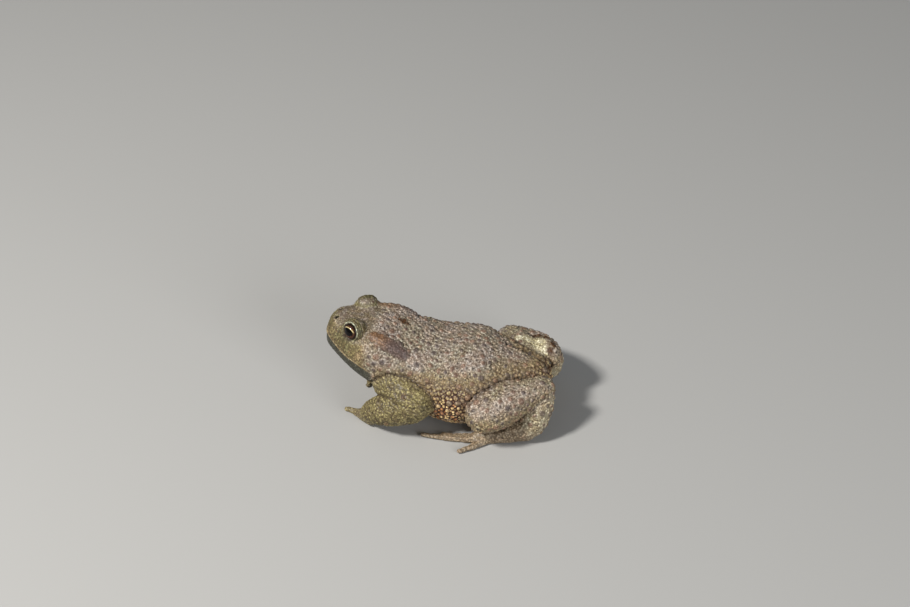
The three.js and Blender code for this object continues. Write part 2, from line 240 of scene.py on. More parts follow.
class ToadStageSettings(bpy.types.PropertyGroup):
    azimuth: FloatProperty(
        name="Azimuth", description="Direction of the camera round the toad",
        default=math.radians(98.5), unit="ROTATION", subtype="ANGLE")
    elevation: FloatProperty(
        name="Elevation", description="Height of the camera above the floor, as an angle",
        default=math.radians(37.0), unit="ROTATION", subtype="ANGLE")
    distance: FloatProperty(
        name="Distance", description="Distance of the camera from the toad",
        default=0.76655, unit="LENGTH", subtype="DISTANCE")
    lens: FloatProperty(
        name="Lens", description="Focal length for a film 36 mm wide",
        default=87.03, unit="CAMERA", subtype="DISTANCE_CAMERA")
    floor: FloatVectorProperty(
        name="Floor", description="Colour of the floor",
        subtype="COLOR", size=3, default=(0.42, 0.415, 0.40))


# ------------------------------------------------------------------ skin, as clay

SHARPEST = 1.5            # how far a sharp corner may move, for each part of growth
MERGE = 0.01              # millimetres within which corners of a solid are one
SOCKET_FILL = 0.35        # how much larger than the eyeball the filled socket is
REACH = 6.0               # millimetres beyond which a solid has no share in a point
SOFTNESS = 0.7            # millimetres over which one solid's share passes to the next
SMOOTHINGS = 70


class Clay:
    """The skin's mesh as arrays: points in millimetres, and which points are neighbours."""

    def __init__(self, mesh):
        self.mesh = mesh
        self.read()

    def read(self):
        self.count = len(self.mesh.vertices)
        points = np.empty(self.count * 3, np.float32)
        self.mesh.vertices.foreach_get("co", points)
        self.points = points.reshape(-1, 3).astype(float) / MM
        edges = np.empty(len(self.mesh.edges) * 2, np.int32)
        self.mesh.edges.foreach_get("vertices", edges)
        self.ends = edges.reshape(-1, 2).T
        self.neighbours = np.bincount(edges, minlength=self.count)[:, None]

    def write(self):
        self.mesh.vertices.foreach_set("co", (self.points * MM).astype(np.float32).ravel())
        self.mesh.update()

    def average(self, values):
        """Mean of each point's neighbours."""
        first, second = self.ends
        total = np.empty_like(values)
        for k in range(values.shape[1]):
            total[:, k] = np.bincount(first, values[second, k], self.count)
            total[:, k] += np.bincount(second, values[first, k], self.count)
        return total / self.neighbours

    def smooth(self, rounds, strength):
        for _ in range(rounds):
            self.points += (self.average(self.points) - self.points) * strength[:, None]

    def spread(self, field, rounds):
        """A field over the points, softened along the surface."""
        field = field[:, None]
        for _ in range(rounds):
            field = (field + self.average(field)) / 2
        return field[:, 0]

    def outward(self):
        self.write()
        normals = np.empty(self.count * 3, np.float32)
        self.mesh.vertex_normals.foreach_get("vector", normals)
        return normals.reshape(-1, 3).astype(float)

    def raise_by(self, height):
        """Moves the points outward, or inward where the height is negative."""
        self.points += self.outward() * height[:, None]

    def refine(self, wanted):
        """Halves the faces whose centres are wanted, and reads the mesh again."""
        self.write()
        centres = np.empty(len(self.mesh.polygons) * 3, np.float32)
        self.mesh.polygons.foreach_get("center", centres)
        chosen = set(np.flatnonzero(wanted(centres.reshape(-1, 3) / MM)).tolist())
        work = bmesh.new()
        work.from_mesh(self.mesh)
        work.faces.ensure_lookup_table()
        edges = list({edge for index in chosen for edge in work.faces[index].edges})
        bmesh.ops.subdivide_edges(work, edges=edges, cuts=1, use_grid_fill=True)
        work.to_mesh(self.mesh)
        work.free()
        self.read()

    def untangle(self, rounds):
        """Smooths only the points whose normals stand against their neighbours'."""
        for _ in range(rounds):
            normals = self.outward()
            around = self.average(normals)
            length = np.maximum(np.linalg.norm(around, axis=1), 1e-6)
            agree = (normals * around).sum(axis=1) / length
            weight = 0.6 * smoothstep(0.8, 0.5, agree)
            self.points += (self.average(self.points) - self.points) * weight[:, None]

    def nearest(self, place):
        """The point closest to a place."""
        return self.points[np.argmin(np.linalg.norm(self.points - np.array(place), axis=1))]

    def head(self):
        """The points in the head's frame."""
        return (self.points - np.array(BROW)) @ HEAD_AXES.T

    def lumps(self, size):
        """Soft uneven field over the points, about -1 to 1, with lumps of a size in millimetres."""
        return np.array([noise.noise(place) for place in (self.points / size).tolist()])


def grown_copy(work, node, growth):
    """Adds a merged copy of a solid, grown evenly, to a bmesh."""
    piece = bmesh.new()
    piece.from_mesh(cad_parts[node].data)
    bmesh.ops.remove_doubles(piece, verts=piece.verts, dist=MERGE * MM)
    piece.normal_update()
    moves = [
        vert.normal * min(vert.calc_shell_factor(), SHARPEST) * growth for vert in piece.verts]
    for vert, move in zip(piece.verts, moves):
        vert.co += move
    mesh = bpy.data.meshes.new(node)
    piece.to_mesh(mesh)
    piece.free()
    work.from_mesh(mesh)
    bpy.data.meshes.remove(mesh)


def one_flesh(settings):
    """The solids and the filled eye sockets as one closed mesh of even faces."""
    work = bmesh.new()
    for node in FLESH:
        grown_copy(work, node, settings.overlap)
    for side in SIDES:
        bmesh.ops.create_uvsphere(
            work, u_segments=48, v_segments=32, radius=(EYE_RADIUS + SOCKET_FILL) * MM,
            matrix=Matrix.Translation(EYE[side] * MM))
    mesh = bpy.data.meshes.new("flesh")
    work.to_mesh(mesh)
    work.free()
    flesh = bpy.data.objects.new("flesh", mesh)
    bpy.context.collection.objects.link(flesh)
    remesh = flesh.modifiers.new("one skin", "REMESH")
    remesh.mode = "VOXEL"
    remesh.voxel_size = settings.voxel
    graph = bpy.context.evaluated_depsgraph_get()
    skin = bpy.data.meshes.new_from_object(flesh.evaluated_get(graph))
    bpy.data.objects.remove(flesh)
    return skin


def distances(points):
    """Distance of every point to each solid, in millimetres, no longer than the reach."""
    found = {}
    for node in FLESH:
        low, high = box_mm(node)
        near = ((points > np.array(low) - REACH) & (points < np.array(high) + REACH)).all(axis=1)
        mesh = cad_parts[node].data
        tree = BVHTree.FromPolygons(
            [vert.co / MM for vert in mesh.vertices],
            [tuple(face.vertices) for face in mesh.polygons])
        values = np.full(len(points), REACH)
        for index in np.flatnonzero(near):
            _, _, _, away = tree.find_nearest(points[index], REACH)
            if away is not None:
                values[index] = away
        found[node] = values
    return found


def share(gap, nodes):
    """How much of each point belongs to these solids, from 0 to 1."""
    weight = {node: np.exp(-values / SOFTNESS) for node, values in gap.items()}
    total = sum(weight.values()) + 1e-9
    return sum(weight[node] for node in nodes) / total


def both(*names):
    return [f"{name}_{side}" for name in names for side in SIDES]


# ------------------------------------------------------------------ forms of the skin

def lid_chart(points, side):
    """Points seen from an eyeball's centre: distance, direction, place on a chart of the lids that
    keeps lengths along the ball, and how far out they are where the opening's edge is 1."""
    local = (points - np.array(EYE[side])) @ eye_axes(side).T
    radius = np.maximum(np.linalg.norm(local, axis=1), 1e-6)
    direction = local / radius[:, None]
    turned = np.arccos(np.clip(direction[:, 2], -1, 1)) * EYE_RADIUS
    aside = np.maximum(np.hypot(direction[:, 0], direction[:, 1]), 1e-6)
    chart = direction[:, :2] * (turned / aside)[:, None]
    opening = np.hypot(chart[:, 0] / APERTURE[0], chart[:, 1] / APERTURE[1])
    return radius, direction, chart, opening


def shape_lids(clay, side):
    """Opens the lids over the eyeball, with a rolled edge and folds round it.

    Gives the pale edge, partly a painted highlight on its upper side, the painted shade of the
    grooves and of the opening's inner edge, and the skin round the eye."""
    radius, direction, chart, opening = lid_chart(clay.points, side)
    near = (radius < 8) & (opening < 2.4)
    upper = smoothstep(-1.0, 1.6, 0.75 * chart[:, 1] - 0.65 * chart[:, 0])
    rise = np.clip((opening - 1) / 0.1, 0, 1)
    thickness = 0.22 + 0.22 * upper
    inside = smoothstep(1.0, 0.86, opening)
    lip = EYE_RADIUS + 0.02 + thickness * (1 - (1 - rise) ** 2) - 0.7 * inside
    beyond = smoothstep(EYE_RADIUS + 0.7, EYE_RADIUS + 1.6, radius)
    merged = np.maximum(smoothstep(1.1, 1.6, opening), beyond)
    outer_folds = bell(opening - 1.38, 0.06) + 0.7 * bell(opening - 1.6, 0.07)
    folds = bell(opening - 1.16, 0.05) + upper * outer_folds
    folds *= 1 - beyond
    target = lip * (1 - merged) + radius * merged - 0.2 * folds
    moved = direction * target[:, None] @ eye_axes(side) + np.array(EYE[side])
    clay.points[near] = moved[near]
    # The pale edge is strongest on the upper side, partly as a painted highlight; the folds and the
    # opening's inner edge get painted shade.
    edge = bell(opening - 1.05, 0.035) * (0.1 + 0.9 * upper) * (1 - beyond)
    dark = np.maximum(0.6 * folds, smoothstep(1.03, 0.98, opening) * (1 - beyond))
    around = smoothstep(1.8, 1.5, opening) * (1 - beyond)
    return np.where(near, edge, 0), np.where(near, dark, 0), np.where(near, around, 0)


def near_openings(centres):
    """Which faces lie round the eyes and the nostrils."""
    close = np.zeros(len(centres), bool)
    for side, sign in SIDES.items():
        local = (centres - np.array(EYE[side])) @ eye_axes(side).T
        close |= (np.hypot(local[:, 0], local[:, 1]) < 5.2) & (local[:, 2] > 0)
        pit = np.array(on_head(sign * NOSTRIL[0], NOSTRIL[1], NOSTRIL[2]))
        close |= np.linalg.norm(centres - pit, axis=1) < 1.8
    return close


def near_lid_edges(centres):
    """Which faces lie at the edges of the lids."""
    close = np.zeros(len(centres), bool)
    for side in SIDES:
        radius, _, _, opening = lid_chart(centres, side)
        close |= (abs(opening - 1.02) < 0.14) & (radius < EYE_RADIUS + 1.2)
    return close


def shape_nostril(clay, sign):
    """A small pit with a raised edge, open to the side and back."""
    centre = clay.nearest(on_head(sign * NOSTRIL[0], NOSTRIL[1], NOSTRIL[2]))
    away = np.linalg.norm(clay.points - centre, axis=1)
    clay.raise_by(0.12 * bell(away - 1.1, 0.35) - 1.2 * bell(away, 0.6))
    return smoothstep(0.9, 0.5, away)


def shape_ears(clay):
    """A faint round eardrum below the front of each gland. Gives its rim and its middle."""
    rim = np.zeros(clay.count)
    middle = np.zeros(clay.count)
    for sign in SIDES.values():
        centre = clay.nearest(on_head(sign * EAR[0], EAR[1], EAR[2]))
        away = np.linalg.norm(clay.points - centre, axis=1)
        rim = np.maximum(rim, bell(away - 1.15, 0.25))
        middle = np.maximum(middle, smoothstep(1.0, 0.6, away))
    clay.raise_by(0.16 * rim - 0.12 * middle)
    return rim, middle


def mouth_line(head):
    """Height above the slit of the mouth, and how much of the slit there is at each point."""
    ahead = head[:, 1]
    height = head[:, 2] - LIP_FRONT[1] + (LIP_FRONT[0] - ahead) * LIP_FALL
    height = height + 0.6 * bell(ahead - 3.5, 4.5)
    return height, smoothstep(MOUTH_CORNER - 1.0, MOUTH_CORNER + 0.6, ahead)


def shape_mouth(clay, skull):
    """The slit between the lips, a banded upper lip and a jaw that is set back under it.

    Gives the slit, the pale band of the upper lip, the fine line above it and the jaw."""
    height, present = mouth_line(clay.head())
    present = present * skull
    slit = bell(height, 0.26)
    band = bell(height - 0.7, 0.4)
    line = bell(height - 1.3, 0.22)
    under = bell(height + 0.8, 0.8)
    clay.raise_by(present * (0.2 * band - 0.1 * line - 0.6 * slit - 0.15 * under))
    return slit * present, band * present, line * present, smoothstep(0.1, -0.4, height) * present


def away_from_line(points, line):
    """Distance of each point from a line through a few places, and how far along it, 0 to 1."""
    best = np.full(len(points), 1e9)
    along = np.zeros(len(points))
    spans = len(line) - 1
    for k in range(spans):
        start = np.array(line[k])
        step = np.array(line[k + 1]) - start
        t = np.clip((points - start) @ step / (step @ step), 0, 1)
        away = np.linalg.norm(points - start - t[:, None] * step, axis=1)
        closer = away < best
        best[closer] = away[closer]
        along[closer] = (k + t[closer]) / spans
    return best, along


def shape_glands(clay):
    """The two long glands behind the eyes. Gives where they are, and how far back on them."""
    mask = np.zeros(clay.count)
    along = np.zeros(clay.count)
    for side, sign in SIDES.items():
        line = [clay.nearest(on_body(sign * left, back, up)) for left, back, up in GLAND]
        away, t = away_from_line(clay.points, line)
        beyond = away - np.interp(t, (0, 0.5, 1), GLAND_RADII)
        clay.raise_by(0.25 * smoothstep(1.3, 0.0, beyond) - 0.15 * bell(beyond - 1.35, 0.3))
        mask = np.maximum(mask, GLAND_TINT[side] * smoothstep(1.5, -0.3, beyond))
        along = np.where(beyond < 2.0, t, along)
    return mask, along


def fill_bends(clay, gap):
    """Rounds off the dents where a folded limb's parts should run together. Gives where."""
    filled = np.zeros(clay.count)
    bends = (              # two parts, and where along the second the filling starts and is full
        ("upper_arm_left", "forearm_left", 0.35, 0.65),
        ("upper_arm_right", "forearm_right", 0.35, 0.65),
        ("thigh_right", "shank_right", 0.5, 0.75),
    )
    for first, second, start, end in bends:
        low, high = box_mm(second)
        behind = smoothstep(start, end, (clay.points[:, 1] - low.y) / (high.y - low.y))
        meet = smoothstep(3.0, 1.2, np.maximum(gap[first], gap[second])) * behind
        clay.raise_by(0.9 * meet * bell(gap[first] - gap[second], 0.9))
        filled = np.maximum(filled, meet)
    clay.smooth(12, 0.5 * filled)
    return filled


def shape_folds(clay, gap, filled):
    """Creases where the limbs meet the body and where they fold on themselves, which the skin's
    colour fills with painted shade.
    """
    crease = np.zeros(clay.count)
    body = ["trunk", "head", "lower_jaw"]
    for side in SIDES:
        upper_arm, forearm = f"upper_arm_{side}", f"forearm_{side}"
        thigh, shank = f"thigh_{side}", f"shank_{side}"
        meetings = (       # two groups of parts, the crease's depth, its width on the second
            (body, [upper_arm, forearm], 0.7, CREASE_WIDTH),
            (body, [thigh, shank], 0.9, LEG_CREASE_WIDTH[side]),
            ([upper_arm], [forearm], 0.5, CREASE_WIDTH),
            ([thigh], [shank], 0.5, CREASE_WIDTH),
            ([shank, thigh], [f"tarsus_{side}", f"foot_{side}"], 0.4, CREASE_WIDTH),
        )
        for first, second, depth, width in meetings:
            to_first = np.min([gap[node] for node in first], axis=0)
            to_second = np.min([gap[node] for node in second], axis=0)
            wide = np.where(to_first > to_second, width, CREASE_WIDTH)
            close = smoothstep(3.2, 1.4, np.maximum(to_first, to_second))
            meet = bell((to_first - to_second) / wide, 1.0) * close * depth
            crease = np.maximum(crease, meet * (1 - filled * (first is not body)))
    for sign in SIDES.values():
        line = [on_body(sign * left, back, up) for left, back, up in NECK_FOLD]
        away, _ = away_from_line(clay.points, line)
        crease = np.maximum(crease, 0.5 * bell(away, CREASE_WIDTH))
    away, _ = away_from_line(clay.points, [on_body(*place) for place in GROIN_FOLD])
    crease = np.maximum(crease, 0.9 * bell(away, 0.9))
    clay.raise_by(-0.55 * clay.spread(crease, 12) - 0.75 * clay.spread(crease, 1))
    return crease


def shape_wrinkles(clay, arm, snout):
    """Fine ridges on the arms and on the sides of the snout. Gives their furrows, 0 to 1."""
    waver = clay.lumps(2.2)
    slope = clay.points @ np.array((0.0, 0.35, 0.9))
    on_arm = (0.5 - 0.5 * np.sin(2 * math.pi * (slope / 1.7 + 1.1 * waver))) ** 2
    head = clay.head()
    rings = (head[:, 1] + 0.35 * head[:, 2]) / 1.1
    on_snout = 0.5 - 0.5 * np.sin(2 * math.pi * (rings + 0.6 * waver))
    furrow = np.maximum(arm * on_arm, snout * on_snout ** 2)
    clay.raise_by(-0.25 * arm * on_arm - 0.09 * snout * on_snout)
    return furrow


# ------------------------------------------------------------------ warts

WART_KINDS = (            # radius beside a common one's, share of the points that may start one
    (1.6, 0.003),
    (1.25, 0.03),
    (1.0, 1.0),
    (0.62, 1.0),
    (0.42, 1.0),
)
CLOSENESS = 0.8           # room that a wart needs, for each part of its radius
OVAL = 1.6                # how much narrower a wart may be one way
FACING = 0.1              # how far skin may face away from a wart's middle and still carry it
EMPTY = 9.0               # room around a point, in millimetres, before any wart stands


class Warts:
    """Domes set close together over the clay: each point's height, radius and tone."""

    def __init__(self, clay, normals, rng):
        self.clay = clay
        self.normals = normals
        self.rng = rng
        self.height = np.zeros(clay.count)
        self.girth = np.zeros(clay.count)
        self.tone = np.full(clay.count, 0.5)
        self.room = np.full(clay.count, EMPTY)
        self.tree = KDTree(clay.count)
        for index, point in enumerate(clay.points):
            self.tree.insert(point, index)
        self.tree.balance()

    def grow(self, index, reach, tone):
        """One dome, a little oval, that leaves higher domes as they are."""
        points = self.clay.points
        near = np.array([found[1] for found in self.tree.find_range(points[index], reach * 2.2)])
        near = near[self.normals[near] @ self.normals[index] > FACING]
        step = points[near] - points[index]
        lean = self.rng.normal(size=3)
        lean /= np.linalg.norm(lean)
        squeeze = OVAL * self.rng.random()
        away = np.sqrt((step ** 2).sum(axis=1) + squeeze * (step @ lean) ** 2)
        self.room[near] = np.minimum(self.room[near], away - reach)
        height = 1 - (away / reach) ** 2
        higher = height > self.height[near]
        spots = near[higher]
        self.height[spots] = height[higher]
        self.girth[spots] = reach
        self.tone[spots] = tone

    def place(self, chosen):
        """Warts at places of their own."""
        for left, back, up, radius, tone in chosen:
            _, index, _ = self.tree.find(on_body(left, back, up))
            self.grow(index, radius, tone)

    def fill(self, radius, share, scale):
        """Warts of one kind wherever there is room."""
        count = self.clay.count
        vary = self.rng.uniform(0.8, 1.2, count)
        tones = self.rng.random(count)
        for index in self.rng.permutation(count)[:int(count * share)]:
            reach = radius * scale[index] * vary[index]
            if self.room[index] > reach * CLOSENESS:
                self.grow(index, reach, tones[index])


def patches(clay, chosen):
    """Soft round marks on the skin nearest to the chosen places."""
    field = np.zeros(clay.count)
    for left, back, up, radius in chosen:
        centre = clay.nearest(on_body(left, back, up))
        away = np.linalg.norm(clay.points - centre, axis=1)
        field = np.maximum(field, smoothstep(1.25, 0.6, away / radius))
    return field


def thin_out(mesh, triangles, kept):
    """The mesh with fewer triangles, taken from where it is plainest. Worked in millimetres.

    None are taken where all points are kept."""
    mesh.transform(Matrix.Scale(1 / MM, 4))
    piece = bpy.data.objects.new("thinning", mesh)
    bpy.context.collection.objects.link(piece)
    group = piece.vertex_groups.new(name="free")
    group.add(np.flatnonzero(~kept).tolist(), 1.0, "REPLACE")
    thin = piece.modifiers.new("thinning", "DECIMATE")
    thin.vertex_group = group.name
    thin.ratio = triangles / sum(len(face.vertices) - 2 for face in mesh.polygons)
    graph = bpy.context.evaluated_depsgraph_get()
    thinned = bpy.data.meshes.new_from_object(piece.evaluated_get(graph))
    bpy.data.objects.remove(piece)
    thinned.transform(Matrix.Scale(MM, 4))
    return thinned


# ------------------------------------------------------------------ materials

class Recipe:
    """A material whose nodes are made and joined as they are asked for."""

    def __init__(self, name):
        self.material = bpy.data.materials.new(name)
        self.material.use_nodes = True
        self.nodes = self.material.node_tree.nodes
        self.links = self.material.node_tree.links
        self.shader = self.nodes["Principled BSDF"]

    def feed(self, socket, value):
        if isinstance(value, bpy.types.NodeSocket):
            self.links.new(value, socket)
        elif socket.type == "RGBA" and len(value) == 3:
            socket.default_value = (*value, 1)
        else:
            socket.default_value = value

    def add(self, kind, inputs, settings=None):
        node = self.nodes.new(kind)
        for name, value in (settings or {}).items():
            setattr(node, name, value)
        for name, value in inputs.items():
            self.feed(node.inputs[name], value)
        return node

    def finish(self, **values):
        """Feeds the shader's sockets; a keyword's underscores stand for spaces."""
        for name, value in values.items():
            self.feed(self.shader.inputs[name.replace("_", " ")], value)
        return self.material

    def place(self):
        return self.add("ShaderNodeTexCoord", {}).outputs["Object"]

    def attribute(self, name):
        return self.add("ShaderNodeAttribute", {}, {"attribute_name": name})

    def split(self, name):
        node = self.attribute(name)
        parts = self.add("ShaderNodeSeparateColor", {"Color": node.outputs["Color"]})
        return (*parts.outputs, node.outputs["Alpha"])

    def math(self, operation, first, second=0.0):
        inputs = {0: first, 1: second}
        return self.add("ShaderNodeMath", inputs, {"operation": operation}).outputs[0]

    def times(self, first, second):
        return self.math("MULTIPLY", first, second)

    def length(self, along, across):
        """How far two coordinates are from 0 together."""
        squares = [self.math("POWER", part, 2.0) for part in (along, across)]
        return self.math("SQRT", self.math("ADD", *squares))

    def ramp(self, value, low, high, to_low=0.0, to_high=1.0):
        inputs = {
            "Value": value, "From Min": low, "From Max": high, "To Min": to_low, "To Max": to_high}
        node = self.add("ShaderNodeMapRange", inputs, {"interpolation_type": "SMOOTHSTEP"})
        return node.outputs[0]

    def mix(self, factor, first, second, blend="MIX"):
        node = self.nodes.new("ShaderNodeMix")
        node.data_type = "RGBA"
        node.blend_type = blend
        self.feed(node.inputs[0], factor)
        self.feed(node.inputs[6], first)
        self.feed(node.inputs[7], second)
        return node.outputs[2]

    def cover(self, under, mask, strength, colour):
        """A colour laid over another where a mask is, at a strength."""
        return self.mix(self.times(mask, strength), under, colour)

    def noise(self, scale, detail=3.0, roughness=0.55, distortion=0.0, place=None):
        inputs = {
            "Vector": place or self.place(), "Scale": scale, "Detail": detail,
            "Roughness": roughness, "Distortion": distortion}
        return self.add("ShaderNodeTexNoise", inputs).outputs["Fac"]

    def cells(self, scale, place=None):
        inputs = {"Vector": place or self.place(), "Scale": scale}
        return self.add("ShaderNodeTexVoronoi", inputs, {"feature": "F1"}).outputs["Distance"]

    def bump(self, height, strength, distance, under=None):
        inputs = {"Height": height, "Strength": strength, "Distance": distance}
        if under is not None:
            inputs["Normal"] = under
        return self.add("ShaderNodeBump", inputs).outputs["Normal"]


# The skin's attributes, and the field that each of their four channels holds.
FIELDS = {
    "zones": ("arm", "leg", "digit", "belly"),
    "faces": ("cheek", "crown", "lid", "throat"),
    "marks": ("wart", "girth", "tone", "crease"),
    "sides": ("olive", "rust", "pale", "lip"),
    "glands": ("gland", "gland_along", "ear", "eardrum"),
    "spots": ("rim", "nostril", "patch", "furrow"),
}

# Colours of the skin. In a pair, noise or a wart's tone mixes the two.
GREENISH_BACK = (0.45, 0.435, 0.365)
LEG = ((0.53, 0.485, 0.435), (0.46, 0.44, 0.33))
OLIVE = (0.40, 0.345, 0.19)
BELLY = (0.42, 0.36, 0.24)
ARM_BLOTCH = (0.22, 0.18, 0.105)
ARM_NET = (0.36, 0.33, 0.19)
DIGIT = (0.385, 0.335, 0.245)
CHEEK = ((0.39, 0.315, 0.20), (0.27, 0.235, 0.13))
CHEEK_SHADE = (0.27, 0.25, 0.14)
CROWN = ((0.33, 0.30, 0.26), (0.25, 0.235, 0.165))
LID = ((0.25, 0.22, 0.125), (0.22, 0.22, 0.12))
PALE = ((0.76, 0.74, 0.60), (0.60, 0.57, 0.42))
WART = ((0.35, 0.25, 0.195), (0.26, 0.235, 0.205))
WART_TIP = ((0.14, 0.09, 0.06), (0.085, 0.068, 0.06))
ARM_TIP = ((0.12, 0.095, 0.04), (0.42, 0.38, 0.21))
CHEEK_TIP = ((0.12, 0.09, 0.05), (0.22, 0.11, 0.055))
DIGIT_TIP = (0.24, 0.18, 0.11)
PALE_TIP = (0.46, 0.43, 0.30)
FLANK_BEAD_AND_HIGHLIGHT = ((0.45, 0.21, 0.08), (0.80, 0.64, 0.38))
OLIVE_BEAD_AND_HIGHLIGHT = ((0.57, 0.52, 0.32), (0.36, 0.29, 0.17))
BROAD_WART = ((0.27, 0.18, 0.135), (0.18, 0.148, 0.14))
VALLEY_SHADE = ((0.15, 0.11, 0.075), (0.095, 0.035, 0.010))
GLAND_SHADES = ((0.235, 0.140, 0.075), (0.150, 0.110, 0.105))
PATCH = (0.12, 0.063, 0.023)
EARDRUM = (0.15, 0.115, 0.07)
EAR_RIM = (0.48, 0.43, 0.33)
LIP = (0.46, 0.39, 0.26)
LID_EDGE_AND_HIGHLIGHT = (0.55, 0.60, 0.50)
NOSTRIL_SHADE = (0.010, 0.008, 0.006)
FURROW = (0.06, 0.045, 0.02)
CREASE_SHADE = (0.045, 0.024, 0.010)
NET_SHADE = (0.34, 0.30, 0.26)
SPECK = (0.075, 0.055, 0.04)
UNEVEN = (0.60, 0.57, 0.52)

CONTRAST = 1.35           # power that spreads the skin's colours apart
MIDTONE = 0.26            # brightness that the spreading leaves as it is


def ground_colour(made, at, settings):
    """Colour of the skin between the warts, part by part."""
    soft = made.ramp(made.noise(110, 3, 0.55), 0.4, 0.6)
    drift = made.ramp(at.mottle, 0.42, 0.58)
    ground = made.mix(soft, tuple(settings.back), GREENISH_BACK)
    ground = made.mix(at.leg, ground, made.mix(soft, *LEG))
    ground = made.cover(ground, at.olive, 0.9, OLIVE)
    ground = made.mix(at.rust, ground, tuple(settings.flank))
    ground = made.mix(made.ramp(at.belly, 0.2, 0.9), ground, BELLY)
    blotch = made.ramp(made.noise(300, 2, 0.5), 0.42, 0.62)
    arms = made.mix(blotch, tuple(settings.olive), ARM_BLOTCH)
    ground = made.mix(at.arm, ground, made.mix(drift, arms, ARM_NET))
    ground = made.mix(at.digit, ground, DIGIT)
    ground = made.mix(at.cheek, ground, made.mix(soft, made.mix(drift, *CHEEK), CHEEK_SHADE))
    ground = made.mix(at.crown, ground, made.mix(drift, *CROWN))
    ground = made.mix(at.lid, ground, made.mix(soft, *LID))
    return made.mix(at.pale, ground, made.mix(drift, *PALE))


def wart_colour(made, at, ground):
    """The ground with warts on it: redder or greyer bodies, dark tips, cream beads that are partly a
    painted highlight, and painted shade between the warts.
    """
    body = made.mix(made.ramp(at.wart, 0.0, 0.4, 0.0, 0.45), ground, made.mix(at.tone, *WART))
    calm = made.math("MAXIMUM", at.pale, at.lid)
    for part in (at.cheek, at.arm):
        calm = made.math("MAXIMUM", part, calm)
    colour = made.mix(calm, body, ground)
    # Most small warts end in a dark horny spot.
    tips = made.mix(at.tone, *WART_TIP)
    tips = made.mix(at.arm, tips, made.mix(made.ramp(at.tone, 0.4, 0.55), *ARM_TIP))
    tips = made.mix(at.cheek, tips, made.mix(made.ramp(at.tone, 0.5, 0.7), *CHEEK_TIP))
    tips = made.mix(at.digit, tips, DIGIT_TIP)
    tips = made.mix(at.pale, tips, PALE_TIP)
    often = made.ramp(at.tone, 0.2, 0.5, 0.15, 0.8)
    colour = made.cover(colour, made.ramp(at.wart, 0.5, 0.9), often, tips)
    # Beads stand on the flank and beside the legs; their pale tops are partly the granules' own
    # colour and partly a painted highlight.
    beads = made.mix(made.ramp(at.tone, 0.15, 0.6), *FLANK_BEAD_AND_HIGHLIGHT)
    beads = made.mix(at.olive, beads, made.mix(at.tone, *OLIVE_BEAD_AND_HIGHLIGHT))
    colour = made.cover(colour, at.rust, made.ramp(at.wart, 0.25, 0.7), beads)
    # The large warts are plain and dark.
    large = made.ramp(at.girth, 0.95, 1.1)
    broad = made.mix(made.ramp(at.tone, 0.35, 0.7), *BROAD_WART)
    colour = made.cover(colour, large, made.ramp(at.wart, 0.1, 0.7, 0.0, 0.7), broad)
    # Painted shade darkens the valleys between the warts, in patches, darker on the rusty flank.
    between = made.ramp(at.wart, 0.28, 0.02)
    patchy = made.ramp(at.mottle, 0.40, 0.60, 0.15, 0.9)
    return made.cover(colour, between, patchy, made.mix(at.rust, *VALLEY_SHADE))


def marked_colour(made, at, settings, colour):
    """The skin with its glands, patches, ears, lips, furrows and pale lid edges, partly a painted
    highlight, and with painted shade on the throat, in the nostrils and in the creases.
    """
    gland = made.mix(made.ramp(at.gland_along, 0.15, 0.6), *GLAND_SHADES)
    colour = made.cover(colour, at.gland, 0.85, gland)
    colour = made.cover(colour, at.patch, made.ramp(at.mottle, 0.35, 0.6, 0.6, 1.0), PATCH)
    colour = made.cover(colour, at.eardrum, 0.5, EARDRUM)
    colour = made.cover(colour, at.ear, 0.5, EAR_RIM)
    # Painted shade: the lower jaw is darkened, most near the lip and less where it faces down.
    above = made.ramp(at.belly, 0.0, 0.8, 1.0, 0.5)
    colour = made.cover(colour, at.throat, above, tuple(settings.throat))
    colour = made.cover(colour, at.lip, 0.85, LIP)
    # The lids' pale edges: partly their own colour and partly a painted highlight, strongest on the
    # upper side.
    colour = made.cover(colour, at.rim, 0.9, LID_EDGE_AND_HIGHLIGHT)
    # Painted shade fills the nostrils' pits.
    colour = made.mix(at.nostril, colour, NOSTRIL_SHADE)
    colour = made.cover(colour, at.furrow, 0.55, FURROW)
    # Painted shade in the folds, the mouth's slit and the lids' grooves.
    return made.cover(colour, at.crease, 0.92, CREASE_SHADE)


